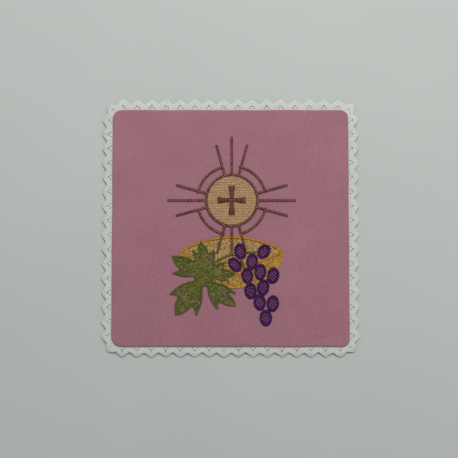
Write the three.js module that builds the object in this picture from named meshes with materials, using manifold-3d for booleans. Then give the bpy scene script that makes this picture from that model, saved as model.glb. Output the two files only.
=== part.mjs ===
// Chalice pall: a stiff square cased in rose cloth and edged with white zigzag lace.
// On its face a host in rays stands over a wide cup with a vine leaf and a bunch of grapes,
// all worked as raised embroidery.
// Millimetres, +Z up. The pall lies on its back, with the top of the emblem towards +Y.
// The origin is the middle of the underside.

import * as THREE from "three";
import { mergeVertices } from "three/addons/utils/BufferGeometryUtils.js";
import Module from "manifold-3d";

const wasm = await Module();
wasm.setup();

// Clearance that neighbouring pieces keep, and the turns used throughout
const GAP = 0.3;
const RIGHT_ANGLE = Math.PI / 2;
const ORIGIN = new THREE.Vector2(0, 0);

// Covered board: its side, its corners taken round from the top right,
// and its sections from the flat back to the flat face
const BOARD_SIDE = 150;
const CORNER_STEPS = 4;
const CORNERS = [
  { corner: "top right", across: 1, up: 1, radius: 5.0 },
  { corner: "top left", across: -1, up: 1, radius: 5.6 },
  { corner: "bottom left", across: -1, up: -1, radius: 6.2 },
  { corner: "bottom right", across: 1, up: -1, radius: 4.6 },
];
const SECTIONS = [
  { height: 0, inset: 1.1 },
  { height: 0.12, inset: 0.55 },
  { height: 0.4, inset: 0.2 },
  { height: 0.9, inset: 0 },
  { height: 1.6, inset: 0 },
  { height: 2.1, inset: 0.2 },
  { height: 2.4, inset: 0.6 },
  { height: 2.56, inset: 1.2 },
  { height: 2.6, inset: 2.1 },
];
const FACE = SECTIONS.at(-1).height;

// Lace edging: a strip sewn on at half height, whose outer edge is a zigzag of blunt teeth
const LACE_THICKNESS = 1.1;
const LACE_UNDERSIDE = 0.75;
const LACE_MIDDLE = 5;
const TOOTH_COUNT = 68;
const FIRST_NOTCH = 0.36;
const TOOTH = [
  { along: 0, reach: 3.3 },
  { along: 0.25, reach: 4.85 },
  { along: 0.45, reach: 6.4 },
  { along: 0.55, reach: 6.4 },
  { along: 0.75, reach: 4.85 },
];
const TOOTH_UNEVENNESS = { depth: 0.25, turn: 2.4 };
const TIP_DROP = { level: 0.6, sway: 0.05, waves: 9 };

// Embroidery: how far fills and outlines stand up from their foot, just clear of the cloth
const STITCH_FOOT = FACE + GAP;
const FILL_RISE = 0.5;
const OUTLINE_RISE = 0.85;
const SECOND_LAYER = STITCH_FOOT + FILL_RISE + GAP;

// Height of a cutter that goes right through the stitching
const CUT_RISE = 3;

// Host, its rim and the rays and arcs round it
const HOST = { x: 0.8, y: 17.2, radius: 15.3 };
const HOST_STEPS = 48;
const RIM_WIDTH = 1.3;
const RAY_WIDTH = 1.5;
const RAY_SPREAD = THREE.MathUtils.degToRad(15.5);
const RAYS = [
  { turn: -RAY_SPREAD, tip: 36.5 },
  { turn: 0, tip: 40.5 },
  { turn: RAY_SPREAD, tip: 36.5 },
];
const LOWER_QUARTER = 3;
const LOWER_RAY_TIP = 34.5;
const ARC_RADIUS = 21.9;
const ARC_STEPS = 14;
const CROSS = { arm: 9.2, waist: 1.1, flare: 2.1 };

// Cup: half the width and height of its mouth, two arcs that meet in points,
// and how deep the bowl hangs below the middle of the mouth
const CUP = { x: 0.85, y: -15.1, across: 32, up: 8.8, depth: 23.4 };
const CUP_RIM_WIDTH = 1.7;
const CUP_STEPS = 64;

// Vine leaf: the point its veins start from and its lobes, in degrees and millimetres from there,
// each with the depth and half width of the sinus after it, and whether it has a tooth before its tip
const LEAF = { x: -17, y: -31, curveSteps: 4 };
const LOBES = [
  { turn: 4, reach: 20.4, sinus: 10.5, gape: 0.9, tooth: true },
  { turn: 95, reach: 22.4, sinus: 12.5, gape: 0.8, tooth: true },
  { turn: 147, reach: 23.6, sinus: 6.8, gape: 1.5, tooth: false },
  { turn: 234, reach: 30, sinus: 7.2, gape: 1.9, tooth: true },
  { turn: 318, reach: 27.6, sinus: 7.2, gape: 1.2, tooth: true },
];

// Points round one lobe, as shares of its reach and of the way from its middle to the sinus beside it,
// with how far the edge before each point swells
const LOBE_POINTS = [
  { way: -0.6, reach: 0.8, belly: 0.2 },
  { way: -0.36, reach: 0.68, belly: -0.16 },
  { way: 0, reach: 1, belly: 0.2 },
  { way: 0.34, reach: 0.66, belly: 0.2 },
  { way: 0.6, reach: 0.82, belly: -0.16 },
];
const SINUS_SIDE_BELLY = 0.2;
const SINUS_END_BELLY = -0.6;
const LEAF_LINE_WIDTH = 1.1;
const LEAF_ROUND_STEPS = 10;
const VEIN_WIDTH = 0.9;
const VEIN_REACH = 0.84;

// Stalk: the run from the leaf to the shoulder of the bunch, and the branch down into it
const STALK_WIDTH = 1.5;
const STALK_STEPS = 12;
const STALKS = [
  [[-14, -27], [-8.5, -21.6], [-2.5, -18.2], [4, -17], [11, -16], [20, -15.5]],
  [[4, -17.2], [6.5, -20.5], [8, -24], [9.5, -28]],
];

// Grapes: half sizes, section from foot to middle, and the middle and lean of each one
const GRAPE = { across: 3.75, up: 5.1, steps: 20 };
const GRAPE_SECTION = [
  { out: 0, rise: 0 },
  { out: 1, rise: 0 },
  { out: 1, rise: 0.35 },
  { out: 0.88, rise: OUTLINE_RISE },
  { out: 0.68, rise: OUTLINE_RISE },
  { out: 0.52, rise: FILL_RISE },
  { out: 0, rise: FILL_RISE },
];
const GRAPES = [
  { x: 6.2, y: -15.2, lean: 10 },
  { x: 21.0, y: -15.2, lean: -34 },
  { x: 2.8, y: -23.6, lean: 40 },
  { x: 13.6, y: -21.6, lean: -8 },
  { x: 10.6, y: -30.6, lean: 4 },
  { x: 18.8, y: -28.2, lean: -6 },
  { x: 26.8, y: -30.4, lean: -12 },
  { x: 12.6, y: -40.0, lean: 6 },
  { x: 20.6, y: -37.8, lean: -8 },
  { x: 18.4, y: -47.2, lean: 3 },
  { x: 26.6, y: -48.0, lean: -6 },
  { x: 22.2, y: -57.0, lean: 2 },
];

// Smallest cut-off piece of stitching that is worth keeping, in cubic millimetres
const SMALLEST_PIECE = 1.2;

// Cloth and threads
const COLOURS = {
  rose_cloth: { color: 0xa3707f, roughness: 0.85 },
  white_lace: { color: 0xe2e4de, roughness: 0.9 },
  tan_thread: { color: 0xb8915f, roughness: 0.55 },
  brown_thread: { color: 0x5e3a30, roughness: 0.5 },
  ochre_thread: { color: 0xc2903a, roughness: 0.5 },
  pale_gold_thread: { color: 0xcaa766, roughness: 0.55 },
  green_thread: { color: 0x66702f, roughness: 0.55 },
  purple_thread: { color: 0x4b2560, roughness: 0.5 },
};
const MATERIALS = Object.fromEntries(
  Object.entries(COLOURS).map(([name, look]) => [
    name,
    new THREE.MeshStandardMaterial({ name, metalness: 0, ...look }),
  ]),
);

const pall = new THREE.Group();

// Adds a piece of the pall under its own name
function addPiece(name, geometry, material) {
  const mesh = new THREE.Mesh(geometry, MATERIALS[material]);
  mesh.name = name;
  pall.add(mesh);
}

// A point at an angle and a distance from a middle
function polar(middle, angle, distance) {
  return new THREE.Vector2(
    middle.x + distance * Math.cos(angle),
    middle.y + distance * Math.sin(angle),
  );
}

// The board's widest outline, moved out by a distance
function boardPath(out) {
  const path = new THREE.Path();
  CORNERS.forEach(({ across, up, radius }, index) => {
    const middle = BOARD_SIDE / 2 - radius;
    const start = index * RIGHT_ANGLE;
    path.absarc(across * middle, up * middle, radius + out, start, start + RIGHT_ANGLE);
  });
  path.closePath();
  return path;
}

// A closed solid through a stack of rings with equal numbers of points, capped at both ends
function loft(rings) {
  const count = rings[0].length;
  const positions = rings.flat().flatMap(({ x, y, z }) => [x, y, z]);
  const faces = [];
  for (let ring = 0; ring < rings.length - 1; ring += 1) {
    for (let point = 0; point < count; point += 1) {
      const next = (point + 1) % count;
      const low = ring * count;
      const high = low + count;
      faces.push(low + point, low + next, high + next);
      faces.push(low + point, high + next, high + point);
    }
  }
  const last = (rings.length - 1) * count;
  THREE.ShapeUtils.triangulateShape(rings[0], []).forEach(([a, b, c]) => faces.push(c, b, a));
  THREE.ShapeUtils.triangulateShape(rings.at(-1), []).forEach(([a, b, c]) => {
    faces.push(last + a, last + b, last + c);
  });
  const geometry = new THREE.BufferGeometry();
  geometry.setAttribute("position", new THREE.Float32BufferAttribute(positions, 3));
  geometry.setIndex(faces);
  geometry.computeVertexNormals();
  return geometry;
}

function coveredBoard() {
  const rings = SECTIONS.map(({ height, inset }) => {
    const outline = boardPath(-inset).getPoints(CORNER_STEPS);
    outline.pop();
    return outline.map(({ x, y }) => new THREE.Vector3(x, y, height));
  });
  return loft(rings);
}

// How far a point lies outside the board's outline, with corners of middling radius
function beyondBoard(x, y) {
  const radius = CORNERS.reduce((sum, corner) => sum + corner.radius, 0) / CORNERS.length;
  const across = Math.max(Math.abs(x) - BOARD_SIDE / 2 + radius, 0);
  const up = Math.max(Math.abs(y) - BOARD_SIDE / 2 + radius, 0);
  return Math.hypot(across, up) - radius;
}

// The zigzag edge of the lace, a little uneven from tooth to tooth
function laceEdge() {
  const middle = boardPath(LACE_MIDDLE);
  const points = [];
  for (let tooth = 0; tooth < TOOTH_COUNT; tooth += 1) {
    const uneven = TOOTH_UNEVENNESS.depth * Math.sin(TOOTH_UNEVENNESS.turn * tooth);
    TOOTH.forEach(({ along, reach }) => {
      const share = ((tooth + along + FIRST_NOTCH) / TOOTH_COUNT) % 1;
      const out = middle.getTangent(share).rotateAround(ORIGIN, -RIGHT_ANGLE);
      points.push(middle.getPoint(share).addScaledVector(out, reach + uneven - LACE_MIDDLE));
    });
  }
  return points;
}

function laceEdging() {
  const shape = new THREE.Shape(laceEdge());
  shape.holes.push(new THREE.Path(boardPath(GAP).getPoints(CORNER_STEPS)));
  const lace = new THREE.ExtrudeGeometry(shape, { depth: LACE_THICKNESS, bevelEnabled: false });
  const position = lace.getAttribute("position");
  const farthest = Math.max(...TOOTH.map(({ reach }) => reach));
  for (let index = 0; index < position.count; index += 1) {
    const x = position.getX(index);
    const y = position.getY(index);
    const share = Math.max(beyondBoard(x, y) - GAP, 0) / farthest;
    const drop = TIP_DROP.level + TIP_DROP.sway * Math.sin(TIP_DROP.waves * Math.atan2(y, x));
    position.setZ(index, position.getZ(index) + LACE_UNDERSIDE - drop * share * share);
  }
  return lace;
}

// A flat-topped piece of stitching with the given outline
function plate(outline, rise, foot = STITCH_FOOT) {
  const shape = new THREE.Shape(outline);
  return new THREE.ExtrudeGeometry(shape, { depth: rise, bevelEnabled: false }).translate(0, 0, foot);
}

// A closed geometry as a solid that can be joined and cut
function solid(geometry) {
  const bare = geometry.clone();
  bare.deleteAttribute("normal");
  bare.deleteAttribute("uv");
  const merged = mergeVertices(bare);
  return new wasm.Manifold(
    new wasm.Mesh({
      numProp: 3,
      vertProperties: merged.getAttribute("position").array,
      triVerts: Uint32Array.from(merged.getIndex().array),
    }),
  );
}

function solidPlate(outline, rise, foot) {
  return solid(plate(outline, rise, foot));
}

function joined(solids) {
  return solids.reduce((whole, part) => whole.add(part));
}

function geometryOf(cut) {
  const { vertProperties, triVerts } = cut.getMesh();
  const geometry = new THREE.BufferGeometry();
  geometry.setAttribute("position", new THREE.BufferAttribute(vertProperties, 3));
  geometry.setIndex(new THREE.BufferAttribute(triVerts, 1));
  geometry.computeVertexNormals();
  return geometry;
}

// Adds every separate body of a cut solid, numbered from the left where there are several
function addBodies(name, cut, material) {
  const bodies = cut.decompose().filter((body) => body.volume() > SMALLEST_PIECE);
  bodies.sort((a, b) => a.boundingBox().min[0] - b.boundingBox().min[0]);
  bodies.forEach((body, index) => {
    const label = bodies.length > 1 ? `${name}_${index + 1}` : name;
    addPiece(label, geometryOf(body), material);
  });
}

function ellipse({ x, y }, across, up, steps, lean = 0) {
  const curve = new THREE.EllipseCurve(x, y, across, up, 0, 4 * RIGHT_ANGLE, false, lean);
  return curve.getPoints(steps).slice(0, -1);
}

// The outline of a stitched line: both sides of a curve, or of one shifted to its left, with square ends
function lineOutline(curve, width, steps, shift = 0) {
  const right = [];
  const left = [];
  for (let step = 0; step <= steps; step += 1) {
    const at = curve.getPoint(step / steps);
    const aside = curve.getTangent(step / steps).rotateAround(ORIGIN, RIGHT_ANGLE);
    right.push(at.clone().addScaledVector(aside, shift - width / 2));
    left.push(at.clone().addScaledVector(aside, shift + width / 2));
  }
  return [...right, ...left.reverse()];
}

// An anticlockwise outline moved out by a distance, with its corners kept sharp
function grown(outline, distance) {
  const sharpest = 3;
  return outline.map((at, index) => {
    const before = outline[(index + outline.length - 1) % outline.length];
    const after = outline[(index + 1) % outline.length];
    const outIn = at.clone().sub(before).normalize().rotateAround(ORIGIN, -RIGHT_ANGLE);
    const outOn = after.clone().sub(at).normalize().rotateAround(ORIGIN, -RIGHT_ANGLE);
    const out = outIn.clone().add(outOn).normalize();
    const reach = Math.min(1 / Math.max(out.dot(outIn), 0.01), sharpest);
    return at.clone().addScaledVector(out, distance * reach);
  });
}

// A cutter right through the stitching, and one that leaves a gap round an outline
function cutter(outline) {
  return solidPlate(outline, CUT_RISE, FACE);
}

function clearing(outline) {
  return cutter(grown(outline, GAP));
}

// Groups of three rays from the host's rim, one group to a quarter turn
function rays(quarters, rise, foot) {
  const start = HOST.radius + GAP + RIM_WIDTH / 2;
  return quarters.flatMap((quarter) => RAYS.map(({ turn, tip }) => {
    const angle = quarter * RIGHT_ANGLE + turn;
    const end = quarter === LOWER_QUARTER ? LOWER_RAY_TIP : tip;
    const line = new THREE.LineCurve(polar(HOST, angle, start), polar(HOST, angle, end));
    return solidPlate(lineOutline(line, RAY_WIDTH, 1), rise, foot);
  }));
}

// The host's rim with every ray, and the arcs between the outer rays
function glory() {
  const inner = HOST.radius + GAP;
  const outer = inner + RIM_WIDTH;
  const rim = solidPlate(ellipse(HOST, outer, outer, HOST_STEPS), OUTLINE_RISE)
    .subtract(cutter(ellipse(HOST, inner, inner, HOST_STEPS)));
  const arcs = [0, 1, 2, 3].map((quarter) => {
    const from = quarter * RIGHT_ANGLE + RAY_SPREAD;
    const to = (quarter + 1) * RIGHT_ANGLE - RAY_SPREAD;
    const arc = new THREE.EllipseCurve(HOST.x, HOST.y, ARC_RADIUS, ARC_RADIUS, from, to);
    return solidPlate(lineOutline(arc, RAY_WIDTH, ARC_STEPS), OUTLINE_RISE);
  });
  return joined([rim, ...rays([0, 1, 2, 3], OUTLINE_RISE), ...arcs]);
}

// A plain cross with arms that widen to their ends
function hostCross() {
  const { arm, waist, flare } = CROSS;
  const outline = [0, 1, 2, 3].flatMap((quarter) => [
    new THREE.Vector2(arm, -flare),
    new THREE.Vector2(arm, flare),
    new THREE.Vector2(waist, waist),
  ].map((point) => point.rotateAround(ORIGIN, quarter * RIGHT_ANGLE).add(HOST)));
  return plate(outline, FILL_RISE, SECOND_LAYER);
}

// The corners of the leaf: each lobe's teeth and tip, then the round end of the sinus after it
function leafCorners() {
  const fullTurn = 360;
  const halfWay = (from, to) => ((to - from + fullTurn) % fullTurn) / 2;
  return LOBES.flatMap(({ turn, reach, sinus, gape, tooth }, index) => {
    const before = halfWay(LOBES.at(index - 1).turn, turn);
    const after = halfWay(turn, LOBES[(index + 1) % LOBES.length].turn);
    const teeth = LOBE_POINTS.filter(({ way }) => tooth || way >= 0).map((point) => ({
      turn: turn + point.way * (point.way < 0 ? before : after),
      distance: point.reach * reach,
      belly: point.belly,
    }));
    const spread = THREE.MathUtils.radToDeg(Math.atan2(gape, sinus));
    return [
      ...teeth,
      { turn: turn + after - spread, distance: sinus, belly: SINUS_SIDE_BELLY },
      { turn: turn + after + spread, distance: sinus, belly: SINUS_END_BELLY },
    ];
  });
}

// The leaf's outline: pointed, toothed lobes that swell towards narrow sinuses
function leafShape() {
  const shape = new THREE.Shape();
  const corners = leafCorners();
  const points = corners.map(({ turn, distance }) => {
    return polar(LEAF, THREE.MathUtils.degToRad(turn), distance);
  });
  shape.moveTo(points[0].x, points[0].y);
  points.forEach((from, index) => {
    const next = (index + 1) % points.length;
    const to = points[next];
    const out = to.clone().sub(from).rotateAround(ORIGIN, -RIGHT_ANGLE);
    const control = from.clone().lerp(to, 0.5).addScaledVector(out, corners[next].belly);
    shape.quadraticCurveTo(control.x, control.y, to.x, to.y);
  });
  return shape;
}

// The leaf's raised edge: a line just inside each curve of its outline, with a round at each corner
function leafEdge(curves, outline) {
  const width = LEAF_LINE_WIDTH + GAP;
  const inward = (LEAF_LINE_WIDTH - GAP) / 2;
  const lines = curves.flatMap((curve) => [
    lineOutline(curve, width, LEAF.curveSteps, inward),
    ellipse(curve.v0, LEAF_LINE_WIDTH, LEAF_LINE_WIDTH, LEAF_ROUND_STEPS),
  ]);
  return solidPlate(outline, OUTLINE_RISE).intersect(joined(lines.map(cutter)));
}

// The leaf: a low fill with a raised outline and raised veins
function vineLeaf({ curves }, outline) {
  const middle = new THREE.Vector2(LEAF.x, LEAF.y);
  const veins = LOBES.map(({ turn, reach }) => {
    const tip = polar(LEAF, THREE.MathUtils.degToRad(turn), reach * VEIN_REACH);
    const line = new THREE.LineCurve(middle, tip);
    return solidPlate(lineOutline(line, VEIN_WIDTH, 1), OUTLINE_RISE);
  });
  return joined([solidPlate(outline, FILL_RISE), leafEdge(curves, outline), ...veins]);
}

function stalkOutlines() {
  return STALKS.map((points) => {
    const curve = new THREE.SplineCurve(points.map(([x, y]) => new THREE.Vector2(x, y)));
    return lineOutline(curve, STALK_WIDTH, STALK_STEPS);
  });
}

function grapeOutline({ x, y, lean }) {
  return ellipse({ x, y }, GRAPE.across, GRAPE.up, GRAPE.steps, THREE.MathUtils.degToRad(lean));
}

// A grape: a raised satin ring round a lower middle
function grapeSolid({ x, y, lean }) {
  const section = GRAPE_SECTION.map(({ out, rise }) => new THREE.Vector2(out, rise));
  const grape = new THREE.LatheGeometry(section, GRAPE.steps)
    .rotateX(RIGHT_ANGLE)
    .scale(GRAPE.across, GRAPE.up, 1)
    .rotateZ(THREE.MathUtils.degToRad(lean))
    .translate(x, y, STITCH_FOOT);
  return solid(grape);
}

// The two arcs along the middle of the cup's rim, moved out by a distance
function cupMouth(out) {
  const bend = (CUP.across ** 2 + CUP.up ** 2) / (2 * CUP.up);
  const offset = bend - CUP.up;
  const radius = bend + out;
  const half = Math.acos(offset / radius);
  return [1, -1].flatMap((side) => {
    const turn = side > 0 ? RIGHT_ANGLE : 3 * RIGHT_ANGLE;
    const middle = CUP.y - side * offset;
    const arc = new THREE.EllipseCurve(CUP.x, middle, radius, radius, turn - half, turn + half);
    return arc.getPoints(CUP_STEPS / 2).slice(0, -1);
  });
}

// The cup's rim, inside and front and the rays that end in it, each cut round what is worked over it
function addCup(cover) {
  const rimOut = CUP_RIM_WIDTH / 2;
  const rim = solidPlate(cupMouth(rimOut), OUTLINE_RISE).subtract(cutter(cupMouth(-rimOut)));
  addBodies("cup_rim", rim.subtract(cover), "ochre_thread");

  const insideOutline = cupMouth(-rimOut - GAP);
  addBodies("cup_inside", solidPlate(insideOutline, FILL_RISE).subtract(cover), "pale_gold_thread");

  const across = CUP.across + rimOut;
  const bowl = new THREE.EllipseCurve(CUP.x, CUP.y, across, CUP.depth, 2 * RIGHT_ANGLE, 4 * RIGHT_ANGLE);
  const mouth = cutter(cupMouth(rimOut + GAP));
  const front = solidPlate(bowl.getPoints(CUP_STEPS / 2), FILL_RISE).subtract(mouth);
  addBodies("cup_front", front.subtract(cover), "ochre_thread");

  const lowerRays = joined(rays([LOWER_QUARTER], FILL_RISE, SECOND_LAYER));
  addBodies("ray_in_cup", lowerRays.intersect(cutter(insideOutline)).subtract(cover), "brown_thread");
}

// Cloth and lace
addPiece("covered_board", coveredBoard(), "rose_cloth");
addPiece("lace_edging", laceEdging(), "white_lace");

// Leaf, stalk and grapes, each grape cut clear of those that are worked after it
const leafCurves = leafShape();
const leaf = leafCurves.getPoints(LEAF.curveSteps).slice(0, -1);
const leafClearing = clearing(leaf);
const grapeClearings = GRAPES.map((grape) => clearing(grapeOutline(grape)));
const bunchClearing = joined(grapeClearings);
const stalks = stalkOutlines();
const stalkClearing = joined(stalks.map(clearing));

addPiece("vine_leaf", geometryOf(vineLeaf(leafCurves, leaf).subtract(bunchClearing)), "green_thread");
GRAPES.forEach((grape, index) => {
  const later = grapeClearings.slice(index + 1);
  const cut = later.reduce((rest, clear) => rest.subtract(clear), grapeSolid(grape));
  addPiece(`grape_${String(index + 1).padStart(2, "0")}`, geometryOf(cut), "purple_thread");
});
const stalk = joined(stalks.map((outline) => solidPlate(outline, OUTLINE_RISE)));
addBodies("stalk", stalk.subtract(leafClearing).subtract(bunchClearing), "green_thread");

// Cup, host and glory
addCup(joined([leafClearing, bunchClearing, stalkClearing]));
addPiece("host", plate(ellipse(HOST, HOST.radius, HOST.radius, HOST_STEPS), FILL_RISE), "tan_thread");
addPiece("host_cross", hostCross(), "brown_thread");
const cupClearing = cutter(cupMouth(CUP_RIM_WIDTH / 2 + GAP));
addPiece("glory", geometryOf(glory().subtract(cupClearing)), "brown_thread");

export default pall;
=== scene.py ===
# Chalice pall: rose cloth over a stiff square, a strip of white lace round it,
# and on its face an emblem worked stitch by stitch in rayon thread.
# Sizes are in millimetres, in the frame of the solids. A mesh is made in metres.

import math

import bmesh
import bpy
import numpy as np
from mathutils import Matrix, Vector, noise


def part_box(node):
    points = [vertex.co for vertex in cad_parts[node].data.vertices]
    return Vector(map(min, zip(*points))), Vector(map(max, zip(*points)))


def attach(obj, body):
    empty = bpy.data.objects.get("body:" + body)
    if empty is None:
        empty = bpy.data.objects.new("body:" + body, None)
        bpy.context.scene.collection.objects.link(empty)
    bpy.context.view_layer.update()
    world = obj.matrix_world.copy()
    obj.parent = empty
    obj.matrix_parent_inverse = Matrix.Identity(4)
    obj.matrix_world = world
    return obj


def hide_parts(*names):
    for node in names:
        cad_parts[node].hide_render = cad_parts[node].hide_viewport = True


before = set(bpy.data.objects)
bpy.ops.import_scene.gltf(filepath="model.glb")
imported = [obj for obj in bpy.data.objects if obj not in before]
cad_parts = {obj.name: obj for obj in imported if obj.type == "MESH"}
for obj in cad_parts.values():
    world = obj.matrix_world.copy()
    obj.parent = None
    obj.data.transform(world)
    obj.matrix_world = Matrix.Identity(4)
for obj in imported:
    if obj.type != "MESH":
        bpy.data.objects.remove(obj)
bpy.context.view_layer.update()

# Units, turns, and how close two places are when they count as one
MM = 0.001
RIGHT_ANGLE = math.pi / 2
UP = np.array((0.0, 0.0, 1.0))
TOUCH = 1e-4

# Seeds, so that every run lays the same stitches
SEEDS = {"lace": 11, "host": 21, "cross": 22, "glory": 23, "cup": 24, "leaf": 25, "stalks": 26, "grapes": 30}

# Covered board: its size from the frame, and its corners taken round from the top right
board_low, board_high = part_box("covered_board")
BOARD_SIDE = (board_high.x - board_low.x) / MM
FACE = board_high.z / MM
CORNERS = ((1, 1, 5.0), (-1, 1, 5.6), (-1, -1, 6.2), (1, -1, 4.6))
CORNER_STEPS = 6
FACE_ROUNDING = 0.75
BACK_ROUNDING = 0.8
ROUNDING_STEPS = 4
CLOTH_STEP = 2.0
SEAM = {"height": 1.2, "half_width": 0.25, "depth": 0.16}
SWELL = {"size": 17.0, "height": 0.12}
EDGE_WAVER = {"size": 23.0, "depth": 0.22, "sides_at": 40, "ends_at": 90}

# Lace: the zigzag of its teeth round the board, its threads, and each tooth's eyelets,
# by their place along the tooth, their distance from the board and their radius
LACE_MIDDLE = 5.0
TOOTH_COUNT = 68
FIRST_NOTCH = 0.36
TOOTH_ALONG = (0, 0.25, 0.45, 0.55, 0.75, 1)
TOOTH_REACH = (3.3, 4.85, 6.4, 6.4, 4.85, 3.3)
UNEVENNESS = {"depth": 0.25, "waves": 26}
LACE_FOOT = -0.5
LACE_HEIGHT = 1.3
TIP_DROP = {"level": 0.77, "sway": 0.05, "waves": 9, "bend": 3}
LONG_THREADS = 10
CROSS_THREADS = 17
LACE_THREAD = (0.7, 0.32)
LACE_CORD = (0.7, 0.46)
LACE_WEAVE = 0.14
EYELETS = ((-1.45, 1.25, 0.8), (1.45, 1.25, 0.8), (0, 2.5, 1.1))
EYELET_PULL = 1.25
EDGE_CORNER_POINTS = 16

# Embroidery: thread sizes, and how far stitches sink into the cloth and stand up from it
THREAD_WIDTH = 0.46
THREAD_HEIGHT = 0.36
THREAD_SIDES = 6
TWIST_LENGTH = 0.9
SINK = 0.2
FILL_RISE = 0.5
LINE_RISE = 0.85
NET_RISE = 0.4
SATIN_SPACING = 0.4
SATIN_SLANT = 0.25
SATIN_RAGGED = 0.07
SHORTEST_STITCH = 0.45
STITCH_WANDER = 0.16
STITCH_LIE = 0.03
# How soon a stitch climbs out of the painted shade that darkens its ends
CLEAR_OF_SHADE = 1.15
STITCH_SHARES = np.array((0, 0.05, 0.2, 0.5, 0.8, 0.95, 1))

# Host, its rim, and the rays and arcs round it
HOST = np.array((0.8, 17.2))
HOST_RADIUS = 15.3
RIM_RADIUS = 16.25
RAY_SPREAD = math.radians(15.5)
RAYS = ((-RAY_SPREAD, 36.5), (0, 40.5), (RAY_SPREAD, 36.5))
LOWER_QUARTER = 3
LOWER_RAY_TIP = 34.5
ARC_RADIUS = 21.9
ARC_POINTS = 20
RAY_START = 0.6
RAY_OVER_CUP = 0.35

# The host's rows, of which the last in each group lies lower, and the cross worked over them
HOST_ROWS = {"spacing": 0.56, "length": 1.9, "group": 3}
HOST_ROW_WIDTH = 0.54
HOST_LOW_ROW = {"rise": 0.38, "width": 0.5}
CROSS_ARM = 9.2
CROSS_WAIST = 1.1
CROSS_FLARE = 2.1
CROSS_FOOT = 0.4
CROSS_RISE = 0.6

# Chain stitch: the pitch, length, lead and width of its loops, and the glint inside each one
CHAIN_PITCH = 1.25
CHAIN_LINK = 1.9
CHAIN_LEAD = 1.2
CHAIN_WIDTH = 1.15
CHAIN_POINTS = 13
CHAIN_SIDES = 5
# How soon a chain loop climbs out of the painted shade that darkens its ends
CHAIN_CLEAR_OF_SHADE = 1.2
GLINT = {"back": 0.12, "ahead": 0.38, "width": 0.42}

# Cup: half the width and height of its mouth, two arcs that meet in points,
# and how deep the bowl hangs below the middle of the mouth
CUP = np.array((0.85, -15.1))
CUP_ACROSS = 32.0
CUP_UP = 8.8
CUP_DEPTH = 23.4
CUP_RIM_WIDTH = 1.7
CUP_STEPS = 40
BOWL_STEPS = 60

# The cup's stitches: the open net inside it, the crossing rows on its front, and the line along their edge
CUP_NET_TURNS = (math.radians(38), math.radians(-38))
CUP_NET = {"spacing": 1.1, "length": 1.8}
CUP_NET_WIDTH = 0.6
CUP_FRONT_ROWS = ((math.radians(62), 0.62), (math.radians(-30), 1.1))
CUP_FRONT_STITCH = 2.2
CUP_EDGE = {"inset": 0.5, "width": 0.9, "rise": 0.6}

# Vine leaf: the point its veins start from, then each lobe's turn and reach,
# the depth and half width of the sinus after it, and whether it has a tooth before its tip
LEAF = np.array((-17.0, -31.0))
LOBES = (
    (4, 20.4, 10.5, 0.9, True), (95, 22.4, 12.5, 0.8, True), (147, 23.6, 6.8, 1.5, False),
    (234, 30.0, 7.2, 1.9, True), (318, 27.6, 7.2, 1.2, True),
)
LOBE_POINTS = ((-0.6, 0.8, 0.2), (-0.36, 0.68, -0.16), (0, 1, 0.2), (0.34, 0.66, 0.2), (0.6, 0.82, -0.16))
SINUS_SIDE_BELLY = 0.2
SINUS_END_BELLY = -0.6
LEAF_CURVE_STEPS = 6

# The leaf's stitches: its outline, the crossing rows inside it, the closer rows round its heart, its veins
LEAF_LINE_WIDTH = 0.95
LEAF_LINE_SLANT = 0.5
LEAF_ROWS = ((math.radians(50), 0.85), (math.radians(-35), 1.0))
LEAF_STITCH = 2.0
LEAF_ROW_WIDTH = 0.56
HEART = {"share": 0.55, "turn": math.radians(5), "spacing": 0.8}
VEIN_WIDTH = 0.9
VEIN_REACH = 0.84
VEIN_RISE = 0.65
VEIN_SLANT = 0.8

# Stalk: the run from the leaf to the shoulder of the bunch, and the branch down into it
STALK_WIDTH = 1.5
STALK_SLANT = 0.9
STALKS = (
    ((-14, -27), (-8.5, -21.6), (-2.5, -18.2), (4, -17), (11, -16), (20, -15.5)),
    ((4, -17.2), (6.5, -20.5), (8, -24), (9.5, -28)),
)

# Grapes: half sizes, the share of the grape inside its satin ring, the open net there,
# the stitches of the ring, and each one's middle and lean
GRAPE_ACROSS = 3.75
GRAPE_UP = 5.1
GRAPE_STEPS = 40
GRAPE_CORE = 0.66
GRAPE_NET_TURNS = (math.radians(45), math.radians(-45))
GRAPE_NET = {"spacing": 1.4, "length": 2.0}
GRAPE_NET_WIDTH = 0.72
GRAPE_NET_OVERLAP = 0.06
SPOKE = {"end": 1.03, "uneven": 0.02, "width": 0.52}
GRAPES = (
    (6.2, -15.2, 10), (21.0, -15.2, -34), (2.8, -23.6, 40), (13.6, -21.6, -8),
    (10.6, -30.6, 4), (18.8, -28.2, -6), (26.8, -30.4, -12), (12.6, -40.0, 6),
    (20.6, -37.8, -8), (18.4, -47.2, 3), (26.6, -48.0, -6), (22.2, -57.0, 2),
)

# Camera: the width of its view on the face, its distance and tilt, and the point it looks at
FRAME_WIDTH = 289.6
CAMERA_DISTANCE = 600.0
CAMERA_TILT = math.radians(3)
AIM = Vector((-0.96, -0.97, FACE))

# Floor and light, in metres and watts
FLOOR_REACH = 2.0
WINDOW = {"width": 1.1, "height": 0.3, "power": 8.6, "place": (0.16, 0.61, 0.8)}
ROOM_LIGHT = 0.37


# Materials


def linear(hex_colour, alpha=1.0):
    """An sRGB hex colour as linear red, green, blue and alpha."""
    shares = [int(hex_colour[i:i + 2], 16) / 255 for i in (1, 3, 5)]
    return [s / 12.92 if s <= 0.04045 else ((s + 0.055) / 1.055) ** 2.4 for s in shares] + [alpha]


def add(material, kind, inputs=None, **settings):
    """Add a node with its settings, and give its inputs a value or a link from another node's output."""
    node = material.node_tree.nodes.new(kind)
    for name, value in settings.items():
        setattr(node, name, value)
    for name, value in (inputs or {}).items():
        if isinstance(value, bpy.types.NodeSocket):
            material.node_tree.links.new(value, node.inputs[name])
        else:
            node.inputs[name].default_value = value
    return node


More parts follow.
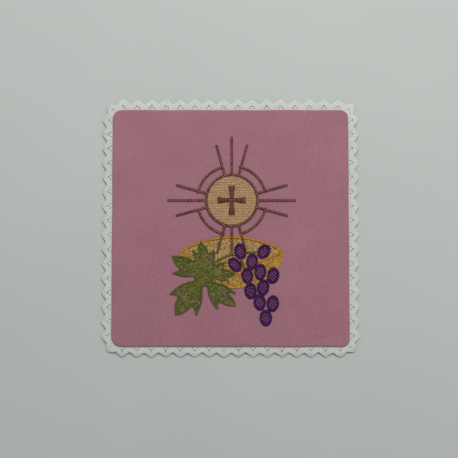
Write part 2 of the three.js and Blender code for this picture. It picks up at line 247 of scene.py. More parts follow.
def bare_material(name):
    """A material with an output and nothing else."""
    material = bpy.data.materials.new(name)
    material.use_nodes = True
    material.node_tree.nodes.clear()
    return material


def colour_stops(ramp, stops):
    """Give a colour ramp its stops, as pairs of a place and a hex colour."""
    elements = ramp.color_ramp.elements
    while len(elements) < len(stops):
        elements.new(0.5)
    for element, (place, hex_colour) in zip(elements, stops):
        element.position = place
        element.color = linear(hex_colour)


def rose_poplin():
    """Cotton poplin, plain woven and pressed: matte, with a fine even grain and faint cloudy patches."""
    thread = 0.62
    fleck = 2.4
    cloud = 30.0
    weave_share = 0.8
    material = bare_material("rose cotton poplin, plain woven")
    uv = add(material, "ShaderNodeUVMap", uv_map="cloth").outputs["UV"]
    place = add(material, "ShaderNodeSeparateXYZ", {"Vector": uv})

    # Threads are drawn a little coarser than real ones, so that the weave still shows from a step away
    waves = []
    for direction in ("X", "Y"):
        inputs = {0: place.outputs[direction], 1: math.pi / thread}
        turn = add(material, "ShaderNodeMath", inputs, operation="MULTIPLY")
        waves.append(add(material, "ShaderNodeMath", {0: turn.outputs[0]}, operation="SINE").outputs[0])
    crossing = add(material, "ShaderNodeMath", {0: waves[0], 1: waves[1]}, operation="MULTIPLY")

    # Thicker places in the yarn make small flecks, and the dye takes unevenly over larger patches
    flecks = add(material, "ShaderNodeTexNoise", {"Vector": uv, "Scale": 1 / fleck, "Detail": 2})
    clouds = add(material, "ShaderNodeTexNoise", {"Vector": uv, "Scale": 1 / cloud, "Detail": 3})
    inputs = {0: flecks.outputs["Fac"], 1: clouds.outputs["Fac"]}
    uneven = add(material, "ShaderNodeMath", inputs, operation="ADD")
    inputs = {0: crossing.outputs[0], 1: weave_share, 2: uneven.outputs[0]}
    grain = add(material, "ShaderNodeMath", inputs, operation="MULTIPLY_ADD")
    inputs = {"Value": grain.outputs[0], "From Min": 0.2, "From Max": 1.8}
    tone = add(material, "ShaderNodeMapRange", inputs)
    dye = add(material, "ShaderNodeValToRGB", {"Fac": tone.outputs[0]})
    colour_stops(dye, ((0.0, "#8c5e6b"), (0.5, "#9c6a77"), (1.0, "#ab7682")))

    bump = add(
        material, "ShaderNodeBump", {"Strength": 0.6, "Distance": 0.09 * MM, "Height": crossing.outputs[0]}
    )
    cloth = add(material, "ShaderNodeBsdfPrincipled", {
        "Base Color": dye.outputs["Color"],
        "Roughness": 0.85,
        "Specular IOR Level": 0.25,
        "Sheen Weight": 0.25,
        "Sheen Roughness": 0.5,
        "Normal": bump.outputs["Normal"],
    })
    add(material, "ShaderNodeOutputMaterial", {"Surface": cloth.outputs[0]})
    return material


def thread_material(name, stops, painted_shade, roughness, gloss, sheen, strands):
    """Spun thread: fine ridges where its strands wind round it, and painted shade that darkens it towards
    the ends where it dives into the cloth.
    """
    material = bare_material(name)
    tint = add(material, "ShaderNodeAttribute", attribute_name="tint")
    depth = add(material, "ShaderNodeAttribute", attribute_name="depth")
    twist = add(material, "ShaderNodeAttribute", attribute_name="twist")
    dye = add(material, "ShaderNodeValToRGB", {"Fac": tint.outputs["Fac"]})
    colour_stops(dye, stops)
    # Painted shade: where the depth attribute falls towards a stitch's ends, the colour turns to the shade
    # colour
    inputs = {"Factor": depth.outputs["Fac"], 6: linear(painted_shade), 7: dye.outputs["Color"]}
    colour = add(material, "ShaderNodeMix", inputs, data_type="RGBA")
    inputs = {0: twist.outputs["Fac"], 1: 2 * math.pi * strands}
    turns = add(material, "ShaderNodeMath", inputs, operation="MULTIPLY")
    ridges = add(material, "ShaderNodeMath", {0: turns.outputs[0]}, operation="SINE")
    bump = add(
        material, "ShaderNodeBump", {"Strength": 0.5, "Distance": 0.03 * MM, "Height": ridges.outputs[0]}
    )
    thread = add(material, "ShaderNodeBsdfPrincipled", {
        "Base Color": colour.outputs[2],
        "Roughness": roughness,
        "Specular IOR Level": gloss,
        "Sheen Weight": sheen,
        "Normal": bump.outputs["Normal"],
    })
    add(material, "ShaderNodeOutputMaterial", {"Surface": thread.outputs[0]})
    return material


def rayon(colour, stops, painted_shade):
    """Rayon embroidery thread, spun from bright filament: a silky gloss that runs across each stitch."""
    return thread_material(
        f"{colour} rayon thread, spun", stops, painted_shade, roughness=0.45, gloss=0.22, sheen=0.0, strands=2
    )


def lace_cotton():
    """Cotton lace yarn, spun and bleached: chalk white, matte and a little hairy."""
    stops = ((0, "#cbcec9"), (0.5, "#d3d6d1"), (1, "#dbded9"))
    # The last colour is the painted shade colour; the lace's threads carry no painted shade, so it never
    # shows
    return thread_material(
        "white cotton lace yarn, spun", stops, "#b2b6b1", roughness=0.9, gloss=0.2, sheen=0.15, strands=3
    )


def floor_paint():
    """Emulsion on a smooth board: a flat pale grey with hardly any gloss."""
    material = bare_material("pale grey emulsion, rolled")
    place = add(material, "ShaderNodeTexCoord").outputs["Object"]
    patches = add(material, "ShaderNodeTexNoise", {"Vector": place, "Scale": 9.0, "Detail": 2})
    tone = add(material, "ShaderNodeValToRGB", {"Fac": patches.outputs["Fac"]})
    colour_stops(tone, ((0.3, "#b9beba"), (0.7, "#bdc1bd")))
    paint = add(material, "ShaderNodeBsdfPrincipled", {
        "Base Color": tone.outputs["Color"],
        "Roughness": 0.9,
        "Specular IOR Level": 0.2,
    })
    add(material, "ShaderNodeOutputMaterial", {"Surface": paint.outputs[0]})
    return material


# Finishing a piece


def nodes_named(start):
    """The solids whose names start in one way, such as the parts of the cup's front."""
    return [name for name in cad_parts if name.startswith(start)]


def finish_piece(piece, material, nodes):
    """Give a piece its material, its smooth shading and its place in the frame."""
    piece.data.materials.append(material)
    piece.data.shade_smooth()
    bpy.context.scene.collection.objects.link(piece)
    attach(piece, "root")
    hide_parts(*nodes)
    return piece


# Cloth cover


def rounded(bm, edges, radius, steps):
    """Round some edges of a bmesh."""
    bmesh.ops.bevel(
        bm, geom=edges, offset=radius, offset_type="OFFSET", affect="EDGES",
        segments=steps, profile=0.5, material=-1, clamp_overlap=True,
    )


def flat_edges(bm, height):
    """Edges that lie at one height."""
    return [e for e in bm.edges if all(abs(v.co.z - height) < TOUCH for v in e.verts)]


def corner_edges(bm, across, up):
    """The upright edges at one corner of the board."""
    side = BOARD_SIDE / 2 - TOUCH
    return [e for e in bm.edges if all(v.co.x * across > side and v.co.y * up > side for v in e.verts)]


def cut_across(bm, axis, place):
    """Cut a bmesh right through at one place along an axis, so that its faces can bend there."""
    middle = [0, 0, 0]
    middle[axis] = place
    normal = [0, 0, 0]
    normal[axis] = 1
    geometry = bm.verts[:] + bm.edges[:] + bm.faces[:]
    bmesh.ops.bisect_plane(bm, geom=geometry, dist=TOUCH, plane_co=middle, plane_no=normal)


def edge_waver(place):
    """How far the edge stands out at a place, as a share of the way from the board's middle."""
    return EDGE_WAVER["depth"] * noise.noise(Vector(place) / EDGE_WAVER["size"]) / (BOARD_SIDE / 2)


def soften(bm):
    """Draw the seam in round the edge, swell the face a little and let the edges waver."""
    for vert in bm.verts:
        x, y, z = vert.co
        if abs(z - SEAM["height"]) < TOUCH:
            out = Vector((x, y, 0)) / (BOARD_SIDE / 2)
            vert.co -= SEAM["depth"] * out
        vert.co.z += SWELL["height"] * z / FACE * noise.noise(Vector((x, y, 0)) / SWELL["size"])
        vert.co.x += x * edge_waver((0, y, EDGE_WAVER["sides_at"]))
        vert.co.y += y * edge_waver((x, 0, EDGE_WAVER["ends_at"]))


def lay_weave(bm):
    """Lay the cloth's threads over each face from the side that it looks to, in millimetres."""
    layer = bm.loops.layers.uv.new("cloth")
    for face in bm.faces:
        x, y, z = (abs(part) for part in face.normal)
        first, second = (0, 1) if z >= max(x, y) else (1, 2) if x > y else (0, 2)
        for loop in face.loops:
            loop[layer].uv = (loop.vert.co[first], loop.vert.co[second])


def cloth_cover():
    """The cloth drawn over the stiff square: rounded corners and edges, with a seam round the side."""
    bm = bmesh.new()
    bmesh.ops.create_cube(bm, size=1)
    bmesh.ops.scale(bm, vec=(BOARD_SIDE, BOARD_SIDE, FACE), verts=bm.verts)
    bmesh.ops.translate(bm, vec=(0, 0, FACE / 2), verts=bm.verts)
    for across, up, radius in CORNERS:
        rounded(bm, corner_edges(bm, across, up), radius, CORNER_STEPS)
    rounded(bm, flat_edges(bm, FACE), FACE_ROUNDING, ROUNDING_STEPS)
    rounded(bm, flat_edges(bm, 0), BACK_ROUNDING, ROUNDING_STEPS)
    for place in np.arange(CLOTH_STEP - BOARD_SIDE / 2, BOARD_SIDE / 2, CLOTH_STEP):
        cut_across(bm, 0, place)
        cut_across(bm, 1, place)
    for step in (-1, 0, 1):
        cut_across(bm, 2, SEAM["height"] + step * SEAM["half_width"])
    soften(bm)
    bm.normal_update()
    lay_weave(bm)
    bmesh.ops.scale(bm, vec=(MM, MM, MM), verts=bm.verts)
    mesh = bpy.data.meshes.new("cloth_cover")
    bm.to_mesh(mesh)
    bm.free()
    cover = bpy.data.objects.new("cloth_cover", mesh)
    finish_piece(cover, rose_poplin(), ["covered_board"])


# Threads


def bundle(routes, rng, width=THREAD_WIDTH, height=THREAD_HEIGHT, sides=THREAD_SIDES, closed=False,
           tints=(0, 1), depth=None):
    """Round threads that follow the routes: their points, faces, tints, painted shade and twists."""
    count, steps, _ = routes.shape
    if closed:
        ahead = np.roll(routes, -1, axis=1) - np.roll(routes, 1, axis=1)
    else:
        ahead = np.gradient(routes, axis=1)
    ahead /= np.linalg.norm(ahead, axis=2, keepdims=True)
    aside = np.cross(UP, ahead)
    aside /= np.linalg.norm(aside, axis=2, keepdims=True)
    over = np.cross(ahead, aside)
    around = np.arange(sides) / sides
    angle = (2 * math.pi * around - RIGHT_ANGLE)[None, None, :, None]
    points = routes[:, :, None] + width / 2 * np.cos(angle) * aside[:, :, None]
    points = points + height / 2 * np.sin(angle) * over[:, :, None]

    ring = np.arange(count * steps * sides).reshape(count, steps, sides)
    here, there = (ring, np.roll(ring, -1, axis=1)) if closed else (ring[:, :-1], ring[:, 1:])
    quads = np.stack((here, np.roll(here, -1, axis=2), np.roll(there, -1, axis=2), there), axis=-1)
    faces = quads.reshape(-1, 4).tolist()
    if not closed:
        faces += ring[:, 0, ::-1].tolist()
        faces += ring[:, -1].tolist()

    run = np.cumsum(np.linalg.norm(np.diff(routes, axis=1, prepend=routes[:, :1]), axis=2), axis=1)
    tint = np.broadcast_to(rng.uniform(*tints, count)[:, None, None], ring.shape)
    # Painted shade along each thread: 1 is clear of it, 0 takes the full shade colour; with none given, none
    # is painted
    painted_shade = np.ones(steps) if depth is None else depth
    return {
        "points": points.reshape(-1, 3),
        "faces": faces,
        "tint": tint.ravel(),
        "depth": np.broadcast_to(painted_shade[None, :, None], ring.shape).ravel(),
        "twist": (run[:, :, None] / TWIST_LENGTH + around[None, None]).ravel(),
    }


def thread_piece(name, bundles, material, nodes):
    """Join bundles of threads into one piece that carries their tints, painted shade and twists."""
    faces = []
    start = 0
    for threads in bundles:
        faces += [[start + corner for corner in face] for face in threads["faces"]]
        start += len(threads["points"])
    points = np.concatenate([threads["points"] for threads in bundles]) * MM
    mesh = bpy.data.meshes.new(name)
    mesh.from_pydata(points.tolist(), [], faces)
    for key in ("tint", "depth", "twist"):
        values = np.concatenate([threads[key] for threads in bundles]).astype(np.float32)
        mesh.attributes.new(key, "FLOAT", "POINT").data.foreach_set("value", values)
    return finish_piece(bpy.data.objects.new(name, mesh), material, nodes)


# Lace


def board_edge():
    """The board's outline from its top right corner: the run round the lace, the points, the ways out."""
    points = []
    ways = []
    for index, (across, up, radius) in enumerate(CORNERS):
        angle = RIGHT_ANGLE * (index + np.linspace(0, 1, EDGE_CORNER_POINTS))
        way = np.column_stack((np.cos(angle), np.sin(angle)))
        middle = (BOARD_SIDE / 2 - radius) * np.array((across, up))
        points.append(middle + radius * way)
        ways.append(way)
    points = np.concatenate((*points, points[0][:1]))
    ways = np.concatenate((*ways, ways[0][:1]))
    steps = np.linalg.norm(np.diff(points + LACE_MIDDLE * ways, axis=0), axis=1)
    run = np.concatenate(((0,), np.cumsum(steps)))
    return run, points, ways


EDGE_RUN, EDGE_POINTS, EDGE_WAYS = board_edge()
TOOTH_PITCH = EDGE_RUN[-1] / TOOTH_COUNT


def lace_places(teeth, shares):
    """Places in the lace, counted in teeth round the board and in shares of the way from foot to edge."""
    along = teeth % 1
    uneven = UNEVENNESS["depth"] * np.sin(2 * math.pi * UNEVENNESS["waves"] * teeth / TOOTH_COUNT)
    edge = np.interp(along, TOOTH_ALONG, TOOTH_REACH) + uneven
    reach = LACE_FOOT + shares * (edge - LACE_FOOT)
    across = (along - 0.5) * TOOTH_PITCH

    # Threads are drawn aside round each eyelet
    shift = np.zeros_like(across)
    for eyelet_across, eyelet_reach, radius in EYELETS:
        from_across = across - eyelet_across
        from_reach = reach - eyelet_reach
        far = np.maximum(np.hypot(from_across, from_reach), TOUCH)
        push = (np.hypot(far, radius) - far) / far * np.exp(-(far / EYELET_PULL) ** 2)
        shift = shift + push * from_across
        reach = reach + push * from_reach

    run = ((teeth + FIRST_NOTCH) * TOOTH_PITCH + shift) % EDGE_RUN[-1]
    base = [np.interp(run, EDGE_RUN, EDGE_POINTS[:, axis]) for axis in (0, 1)]
    way = [np.interp(run, EDGE_RUN, EDGE_WAYS[:, axis]) for axis in (0, 1)]
    x = base[0] + reach * way[0]
    y = base[1] + reach * way[1]
    drop = TIP_DROP["level"] + TIP_DROP["sway"] * np.sin(TIP_DROP["waves"] * np.arctan2(y, x))
    z = LACE_HEIGHT - drop * (np.maximum(reach, 0) / max(TOOTH_REACH)) ** TIP_DROP["bend"]
    return np.stack((x, y, z), axis=-1)


def lace_edging():
    """The lace: threads along it and threads across it, woven over and under and drawn into eyelets."""
    rng = np.random.default_rng(SEEDS["lace"])
    crossings = TOOTH_COUNT * CROSS_THREADS
    cross_at = (np.arange(crossings) + 0.5) / CROSS_THREADS
    long_at = np.arange(LONG_THREADS) / (LONG_THREADS - 1)

    long_routes = lace_places(*np.meshgrid(cross_at, long_at))
    cross_routes = lace_places(*np.meshgrid(cross_at, long_at, indexing="ij"))
    over = 1 - 2 * ((np.arange(LONG_THREADS)[:, None] + np.arange(crossings)[None]) % 2)
    long_routes[..., 2] += LACE_WEAVE * over
    cross_routes[..., 2] -= LACE_WEAVE * over.T
    threads = [
        bundle(long_routes[1:-1], rng, *LACE_THREAD, sides=4, closed=True),
        bundle(long_routes[[0, -1]], rng, *LACE_CORD, sides=4, closed=True, tints=(0.5, 1)),
        bundle(cross_routes, rng, *LACE_THREAD, sides=4),
    ]
    lace = thread_piece("lace_strip", threads, lace_cotton(), ["lace_edging"])


# Outlines and paths of the emblem, as arrays of points on the face


def polar(middle, angle, distance):
    """Points at angles and distances from a middle."""
    return middle + np.stack((np.cos(angle) * distance, np.sin(angle) * distance), axis=-1)


def ellipse(middle, across, up, lean=0.0, steps=72):
    """The outline of an ellipse, taken anticlockwise from its right end."""
    angle = np.arange(steps) * 2 * math.pi / steps
    x = across * np.cos(angle)
    y = up * np.sin(angle)
    ahead = np.array((math.cos(lean), math.sin(lean)))
    return middle + x[:, None] * ahead + y[:, None] * left_of(ahead)


def grape_outline(grape, share=1.0):
    """The outline of a grape, or of a part of it round the same middle."""
    x, y, lean = grape
    middle = np.array((x, y))
    return ellipse(middle, share * GRAPE_ACROSS, share * GRAPE_UP, math.radians(lean), GRAPE_STEPS)


def cup_mouth(out=0.0):
    """The two arcs along the middle of the cup's rim, moved out by a distance, taken anticlockwise."""
    bend = (CUP_ACROSS ** 2 + CUP_UP ** 2) / (2 * CUP_UP)
    offset = np.array((0, bend - CUP_UP))
    radius = bend + out
    half = math.acos(offset[1] / radius)
    swing = np.linspace(-half, half, CUP_STEPS, endpoint=False)
    upper = polar(CUP - offset, RIGHT_ANGLE + swing, radius)
    lower = polar(CUP + offset, 3 * RIGHT_ANGLE + swing, radius)
    return np.concatenate((upper, lower))


def leaf_outline():
    """The leaf's edge: pointed, toothed lobes that swell towards narrow sinuses."""
    points = []
    bellies = []
    for index, (turn, reach, sinus, gape, toothed) in enumerate(LOBES):
        before = (turn - LOBES[index - 1][0]) % 360 / 2
        after = (LOBES[(index + 1) % len(LOBES)][0] - turn) % 360 / 2
        for way, share, belly in LOBE_POINTS:
            if way < 0 and not toothed:
                continue
            tooth_turn = turn + way * (before if way < 0 else after)
            points.append(polar(LEAF, math.radians(tooth_turn), share * reach))
            bellies.append(belly)
        spread = math.atan2(gape, sinus)
        points.append(polar(LEAF, math.radians(turn + after) - spread, sinus))
        points.append(polar(LEAF, math.radians(turn + after) + spread, sinus))
        bellies += [SINUS_SIDE_BELLY, SINUS_END_BELLY]
    share = (np.arange(LEAF_CURVE_STEPS) / LEAF_CURVE_STEPS)[:, None]
    curves = []
    for index, here in enumerate(points):
        following = (index + 1) % len(points)
        there = points[following]
        step = there - here
        bend = (here + there) / 2 + bellies[following] * np.array((step[1], -step[0]))
        curves.append((1 - share) ** 2 * here + 2 * share * (1 - share) * bend + share ** 2 * there)
    return np.concatenate(curves)


def smooth_path(knots, steps=8):
    """A smooth path through a few knots."""
    knots = np.array(knots, float)
    padded = np.concatenate((knots[:1], knots, knots[-1:]))
    share = (np.arange(steps) / steps)[:, None]
    runs = []
    for a, b, c, d in zip(padded, padded[1:], padded[2:], padded[3:]):
        leave = (c - a) / 2
        arrive = (d - b) / 2
        runs.append(
            b + leave * share
            + (3 * (c - b) - 2 * leave - arrive) * share ** 2
            + (2 * (b - c) + leave + arrive) * share ** 3
        )
    return np.concatenate((*runs, knots[-1:]))


def left_of(ahead):
    """The ways to the left of some ways ahead."""
    return np.stack((-ahead[..., 1], ahead[..., 0]), axis=-1)


def band(path, width):
    """The outline of a line of stitches along an open path."""
    ahead = np.gradient(path, axis=0)
    ahead /= np.linalg.norm(ahead, axis=1, keepdims=True)
    aside = width / 2 * left_of(ahead)
    return np.concatenate((path - aside, (path + aside)[::-1]))


# Laying stitches


def inside(points, outline):
    """Which points lie inside an outline."""
    x, y = points[:, 0, None], points[:, 1, None]
    ax, ay = outline.T
    bx, by = np.roll(outline, -1, axis=0).T
    crosses = (ay > y) != (by > y)
    rise = np.where(by == ay, 1.0, by - ay)
    return (crosses & (x < ax + (y - ay) / rise * (bx - ax))).sum(axis=1) % 2 == 1


def hidden_by(points, covers):
    """Which points lie under what is worked over them."""
    hidden = np.zeros(len(points), bool)
    for cover in covers:
        hidden |= inside(points, cover)
    return hidden


def spans(outline, start, way):
    """Where a straight row runs inside an outline, as pairs of distances along it."""
    off = outline - start
    side = off[:, 0] * way[1] - off[:, 1] * way[0]
    along = off @ way
    next_side = np.roll(side, -1)
    next_along = np.roll(along, -1)
    cut = (side > 0) != (next_side > 0)
    at = along[cut] + (next_along - along)[cut] * side[cut] / (side - next_side)[cut]
    return np.sort(at).reshape(-1, 2).tolist()


def without(runs, covers):
    """What is left of some runs of a row when covered runs are taken out."""
    for low, high in covers:
        parts = [part for a, b in runs for part in ((a, min(b, low)), (max(a, high), b))]
        runs = [(a, b) for a, b in parts if b - a > SHORTEST_STITCH]
    return runs


def fill_stitches(outline, covers, turn, spacing, length, rng, group=1, stagger=(0, 0.5)):
    """Rows of stitches that fill an outline but for what covers it, as their starts and ends."""
    way = np.array((math.cos(turn), math.sin(turn)))
    across = np.array((-way[1], way[0]))
    reach = outline @ across
    stitches = []
    for row, at in enumerate(np.arange(reach.min() + spacing / 2, reach.max(), spacing)):
        start = at * across
        covered = [span for cover in covers for span in spans(cover, start, way)]
        shift = length * stagger[row // group % len(stagger)]
        for low, high in without(spans(outline, start, way), covered):
            first, last = (math.ceil((end - shift) / length) for end in (low, high))
            breaks = shift + length * np.arange(first, last)
            breaks = breaks + rng.uniform(-STITCH_WANDER, STITCH_WANDER, len(breaks))
            breaks = breaks[(breaks > low + SHORTEST_STITCH) & (breaks < high - SHORTEST_STITCH)]
            knots = np.concatenate(((low,), breaks, (high,)))
            places = start + knots[:, None] * way
            stitches += [(a, b, row) for a, b in zip(places, places[1:])]
    starts, ends, rows = (np.array(part) for part in zip(*stitches))
    return starts, ends, rows


def walk(path, spacing, closed=False):
    """Even steps along a path, and the way ahead at each."""
    if closed:
        path = np.concatenate((path, path[:1]))
    run = np.concatenate(((0,), np.cumsum(np.linalg.norm(np.diff(path, axis=0), axis=1))))
    count = max(round(run[-1] / spacing), 2)
    at = np.linspace(0, run[-1], count, endpoint=not closed)

    def place(distance):
        distance = distance % run[-1] if closed else np.clip(distance, 0, run[-1])
        return np.column_stack([np.interp(distance, run, path[:, axis]) for axis in (0, 1)])

    ahead = place(at + spacing / 2) - place(at - spacing / 2)
    return place(at), ahead / np.linalg.norm(ahead, axis=1, keepdims=True)


def satin_stitches(path, width, rng, covers=(), closed=False, slant=SATIN_SLANT, shift=0.0):
    """Close stitches side by side across a line, or shifted to its left, as their starts and ends."""
    at, ahead = walk(path, SATIN_SPACING, closed)
    aside = left_of(ahead)
    at = at + shift * aside
    half = width / 2 + rng.uniform(-SATIN_RAGGED, SATIN_RAGGED, (len(at), 1))
    lean = slant / 2 * ahead
    hidden = hidden_by(at, covers)
    return (at - half * aside - lean)[~hidden], (at + half * aside + lean)[~hidden]


def stitch_bundle(starts, ends, rng, rise, tints=(0, 1), foot=0.0, **thread):
    """Stitches that come up out of the cloth, lie over it and go down again."""
    share = STITCH_SHARES[None, :, None]
    flat = starts[:, None] * (1 - share) + ends[:, None] * share
    arch = 1 - (2 * STITCH_SHARES - 1) ** 4
    lie = rng.uniform(-STITCH_LIE, STITCH_LIE, (len(starts), 1))
    height = FACE - SINK + foot + (SINK + rise - THREAD_HEIGHT / 2) * arch + lie
    routes = np.concatenate((flat, height[..., None]), axis=2)
    # Painted shade: darkest where the stitch goes into the cloth, gone by the top of its arch
    return bundle(routes, rng, tints=tints, depth=np.clip(arch * CLEAR_OF_SHADE, 0, 1), **thread)


# Pieces of the emblem


def chain_line(path, rng, covers=(), closed=False, foot=0.0):
    """A line of chain stitch: brown loops, each starting inside the last, with a pale glint in each one."""
    at, ahead = walk(path, CHAIN_PITCH, closed)
    hidden = hidden_by(at, covers)
    at, ahead = at[~hidden], ahead[~hidden]
    aside = left_of(ahead)
    turn = np.linspace(-1, 1, CHAIN_POINTS)
    along = CHAIN_LEAD - CHAIN_LINK * turn ** 2
    out = CHAIN_WIDTH / 2 * np.sin(math.pi * turn)
    flat = at[:, None] + along[None, :, None] * ahead[:, None] + out[None, :, None] * aside[:, None]
    arch = 1 - turn ** 4
    height = FACE + foot - SINK + (SINK + LINE_RISE - THREAD_HEIGHT / 2) * arch
    height = np.broadcast_to(height[None, :, None], (*flat.shape[:2], 1))
    # The loops carry painted shade too, darker towards their ends in the cloth
    loops = bundle(
        np.concatenate((flat, height), axis=2), rng, sides=CHAIN_SIDES,
        tints=(0, 0.5), depth=np.clip(arch * CHAIN_CLEAR_OF_SHADE, 0, 1),
    )
    # Painted glint: a short pale stitch in each loop stands for light caught on the thread
    glints = stitch_bundle(
        at - GLINT["back"] * CHAIN_LINK * ahead, at + GLINT["ahead"] * CHAIN_LINK * ahead, rng, LINE_RISE,
        tints=(0.6, 1), foot=foot, width=GLINT["width"],
    )
    return [loops, glints]


def host_round(tan):
    """The host: horizontal rows of short stitches, in threes that break together like bricks."""
    rng = np.random.default_rng(SEEDS["host"])
    outline = ellipse(HOST, HOST_RADIUS, HOST_RADIUS)
    starts, ends, rows = fill_stitches(outline, (), 0, rng=rng, **HOST_ROWS)
    low = rows % HOST_ROWS["group"] == HOST_ROWS["group"] - 1
    threads = [
        stitch_bundle(starts[~low], ends[~low], rng, FILL_RISE, tints=(0.35, 1), width=HOST_ROW_WIDTH),
        stitch_bundle(starts[low], ends[low], rng, tints=(0.1, 0.5), **HOST_LOW_ROW),
    ]
    thread_piece("host_stitches", threads, tan, ["host"])


def host_cross(brown):
    """A plain cross over the host, each arm in satin stitch that widens to its end."""
    rng = np.random.default_rng(SEEDS["cross"])
    threads = []
    for quarter in range(4):
        angle = quarter * RIGHT_ANGLE
        ahead = np.array((math.cos(angle), math.sin(angle)))
        aside = left_of(ahead)
        first = CROSS_WAIST if quarter % 2 else 0
        out = np.arange(first, CROSS_ARM, SATIN_SPACING)[:, None]
        half = CROSS_WAIST + (CROSS_FLARE - CROSS_WAIST) * (out - first) / (CROSS_ARM - first)
        middle = HOST + out * ahead
        starts = middle - half * aside
        ends = middle + half * aside
        threads.append(stitch_bundle(starts, ends, rng, CROSS_RISE, tints=(0.1, 0.6), foot=CROSS_FOOT))
    thread_piece("cross_stitches", threads, brown, ["host_cross"])


def glory(brown, covers):
    """The rim of the host, the rays and the arcs between them, in chain stitch."""
    rng = np.random.default_rng(SEEDS["glory"])
    rim = ellipse(HOST, RIM_RADIUS, RIM_RADIUS)
    threads = chain_line(rim, rng, closed=True)
    for quarter in range(4):
        middle_turn = quarter * RIGHT_ANGLE
        for turn, tip in RAYS:
            end = LOWER_RAY_TIP if quarter == LOWER_QUARTER else tip
            foot = RAY_OVER_CUP if quarter == LOWER_QUARTER else 0.0
            ends = polar(HOST, middle_turn + turn, np.array((RIM_RADIUS + RAY_START, end - CHAIN_LEAD)))
            threads += chain_line(ends, rng, covers, foot=foot)
        last_turn = middle_turn + RIGHT_ANGLE - RAY_SPREAD
        turns = np.linspace(middle_turn + RAY_SPREAD, last_turn, ARC_POINTS)
        threads += chain_line(polar(HOST, turns, ARC_RADIUS), rng)
    thread_piece("glory_stitches", threads, brown, ["glory", *nodes_named("ray_in_cup")])


def cup(ochre, pale_gold, covers):
    """The cup: an open net inside it, a closer one on its front, and a smooth satin rim."""
    rng = np.random.default_rng(SEEDS["cup"])
    half = CUP_RIM_WIDTH / 2
    mouth = cup_mouth(-half)
    net = []
    for turn in CUP_NET_TURNS:
        starts, ends, _ = fill_stitches(mouth, covers, turn, rng=rng, **CUP_NET)
        net.append(stitch_bundle(starts, ends, rng, NET_RISE, width=CUP_NET_WIDTH))
    thread_piece("cup_inside_stitches", net, pale_gold, nodes_named("cup_inside"))

    angle = np.linspace(math.pi, 2 * math.pi, BOWL_STEPS)
    bowl = CUP + np.column_stack(((CUP_ACROSS + half) * np.cos(angle), CUP_DEPTH * np.sin(angle)))
    rim_hole = cup_mouth()
    front = []
    for turn, spacing in CUP_FRONT_ROWS:
        starts, ends, _ = fill_stitches(bowl, (*covers, rim_hole), turn, spacing, CUP_FRONT_STITCH, rng)
        front.append(stitch_bundle(starts, ends, rng, FILL_RISE))
    edge = CUP + (bowl - CUP) * (1 - CUP_EDGE["inset"] / np.array((CUP_ACROSS, CUP_DEPTH)))
    starts, ends = satin_stitches(edge, CUP_EDGE["width"], rng, (*covers, rim_hole))
    front.append(stitch_bundle(starts, ends, rng, CUP_EDGE["rise"], tints=(0.2, 0.7)))
    thread_piece("cup_front_stitches", front, ochre, nodes_named("cup_front"))

    starts, ends = satin_stitches(rim_hole, CUP_RIM_WIDTH, rng, covers, closed=True)
    rim = [stitch_bundle(starts, ends, rng, LINE_RISE, tints=(0.05, 0.5))]
    thread_piece("cup_rim_stitches", rim, ochre, nodes_named("cup_rim"))


def vine_leaf(green, outline, grapes):
    """The leaf: crossing rows of open fill, closer round its middle, with satin edges and veins."""
    rng = np.random.default_rng(SEEDS["leaf"])
    threads = []
    for turn, spacing in LEAF_ROWS:
        starts, ends, _ = fill_stitches(outline, grapes, turn, spacing, LEAF_STITCH, rng)
        threads.append(stitch_bundle(starts, ends, rng, NET_RISE, tints=(0, 0.85), width=LEAF_ROW_WIDTH))
    heart = LEAF + HEART["share"] * (outline - LEAF)
    starts, ends, _ = fill_stitches(heart, grapes, HEART["turn"], HEART["spacing"], LEAF_STITCH, rng)
    threads.append(stitch_bundle(starts, ends, rng, FILL_RISE, tints=(0.2, 0.9)))
    for turn, reach, *_ in LOBES:
        tip = polar(LEAF, math.radians(turn), VEIN_REACH * reach)
        starts, ends = satin_stitches(np.array((LEAF, tip)), VEIN_WIDTH, rng, grapes, slant=VEIN_SLANT)
        threads.append(stitch_bundle(starts, ends, rng, VEIN_RISE, tints=(0.2, 0.7)))
    starts, ends = satin_stitches(
        outline, LEAF_LINE_WIDTH, rng, grapes, closed=True, slant=LEAF_LINE_SLANT, shift=LEAF_LINE_WIDTH / 2
    )
    threads.append(stitch_bundle(starts, ends, rng, LINE_RISE, tints=(0.15, 0.6)))
    thread_piece("leaf_stitches", threads, green, ["vine_leaf"])


def stalks(green, paths, covers):
    """The stalk from the leaf to the bunch and its branch, in slanting satin stitch."""
    rng = np.random.default_rng(SEEDS["stalks"])
    threads = []
    for path in paths:
        starts, ends = satin_stitches(path, STALK_WIDTH, rng, covers, slant=STALK_SLANT)
        threads.append(stitch_bundle(starts, ends, rng, LINE_RISE, tints=(0.1, 0.7)))
    thread_piece("stalk_stitches", threads, green, nodes_named("stalk"))


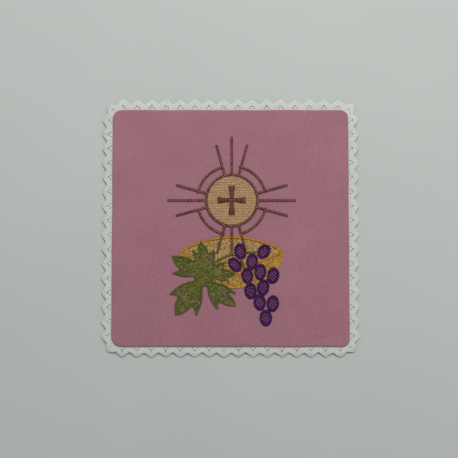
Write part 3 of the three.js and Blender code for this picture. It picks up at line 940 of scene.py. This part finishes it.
def grape(number, purple):
    """One grape: a satin ring of spokes round an open net, cut off where a later grape lies over it."""
    rng = np.random.default_rng(SEEDS["grapes"] + number)
    shape = GRAPES[number]
    later = [grape_outline(other) for other in GRAPES[number + 1:]]
    core = grape_outline(shape, GRAPE_CORE + GRAPE_NET_OVERLAP)
    threads = []
    for turn in GRAPE_NET_TURNS:
        starts, ends, _ = fill_stitches(core, later, turn, rng=rng, **GRAPE_NET)
        threads.append(stitch_bundle(starts, ends, rng, FILL_RISE, tints=(0, 0.6), width=GRAPE_NET_WIDTH))
    middle_share = (1 + GRAPE_CORE) / 2
    at, _ = walk(grape_outline(shape, middle_share), SATIN_SPACING, closed=True)
    middle = np.array(shape[:2])
    spoke = (at[~hidden_by(at, later)] - middle) / middle_share
    uneven = rng.uniform(-SPOKE["uneven"], SPOKE["uneven"], (len(spoke), 1))
    starts = middle + (GRAPE_CORE + uneven) * spoke
    ends = middle + (SPOKE["end"] + uneven) * spoke
    threads.append(stitch_bundle(starts, ends, rng, LINE_RISE, tints=(0, 0.35), width=SPOKE["width"]))
    node = f"grape_{number + 1:02d}"
    thread_piece(f"{node}_stitches", threads, purple, [node])


def embroidery():
    """The whole emblem, each motif in its own thread."""
    leaf = leaf_outline()
    grapes = [grape_outline(shape) for shape in GRAPES]
    stalk_paths = [smooth_path(knots) for knots in STALKS]
    stalk_bands = [band(path, STALK_WIDTH) for path in stalk_paths]
    over_cup = [leaf, *grapes, *stalk_bands]

    # Each thread's last colour is its painted shade, taken on at the ends of its stitches
    tan = rayon("tan", ((0, "#9d7860"), (0.5, "#c29b70"), (1, "#d3b288")), "#927056")
    # The brown's palest colours are for the painted glints in the chain loops
    brown = rayon("brown", ((0, "#48221a"), (0.5, "#74402f"), (1, "#d8b092")), "#3a1c16")
    ochre = rayon("ochre", ((0, "#9c6a1a"), (0.5, "#bf8d31"), (1, "#dcb860")), "#664612")
    pale_gold = rayon("pale gold", ((0, "#8f6f2e"), (0.5, "#bd994e"), (1, "#dcc07c")), "#6a4c24")
    green = rayon("green", ((0, "#3c4a16"), (0.5, "#616622"), (1, "#939244")), "#2a300e")
    purple = rayon("purple", ((0, "#33063f"), (0.5, "#4d0f5e"), (1, "#843f8e")), "#1f0426")

    host_round(tan)
    host_cross(brown)
    cup(ochre, pale_gold, over_cup)
    glory(brown, over_cup)
    vine_leaf(green, leaf, grapes)
    stalks(green, stalk_paths, [leaf, *grapes])
    for number in range(len(GRAPES)):
        grape(number, purple)


# Camera, floor and light


def studio():
    """The camera over the face, a plain pale floor, and soft light from beyond the top of the emblem."""
    view = bpy.data.cameras.new("camera")
    view.angle = 2 * math.atan(FRAME_WIDTH / 2 / CAMERA_DISTANCE)
    camera = bpy.data.objects.new("camera", view)
    back = Vector((0, -math.sin(CAMERA_TILT), math.cos(CAMERA_TILT)))
    camera.location = (AIM + CAMERA_DISTANCE * back) * MM
    camera.rotation_euler = (CAMERA_TILT, 0, 0)
    bpy.context.scene.collection.objects.link(camera)
    bpy.context.scene.camera = camera

    bm = bmesh.new()
    bmesh.ops.create_grid(bm, x_segments=1, y_segments=1, size=FLOOR_REACH)
    mesh = bpy.data.meshes.new("floor")
    bm.to_mesh(mesh)
    bm.free()
    floor = bpy.data.objects.new("floor", mesh)
    floor.data.materials.append(floor_paint())
    bpy.context.scene.collection.objects.link(floor)

    lamp = bpy.data.lights.new("window", "AREA")
    lamp.shape = "RECTANGLE"
    lamp.size = WINDOW["width"]
    lamp.size_y = WINDOW["height"]
    lamp.energy = WINDOW["power"]
    window = bpy.data.objects.new("window", lamp)
    window.location = WINDOW["place"]
    window.rotation_euler = (-window.location).to_track_quat("-Z", "Y").to_euler()
    bpy.context.scene.collection.objects.link(window)

    world = bpy.data.worlds.new("room")
    world.use_nodes = True
    sky = world.node_tree.nodes["Background"]
    sky.inputs["Color"].default_value = (1, 1, 1, 1)
    sky.inputs["Strength"].default_value = ROOM_LIGHT
    bpy.context.scene.world = world
    bpy.context.scene.view_settings.view_transform = "Standard"


cloth_cover()
lace_edging()
embroidery()
studio()
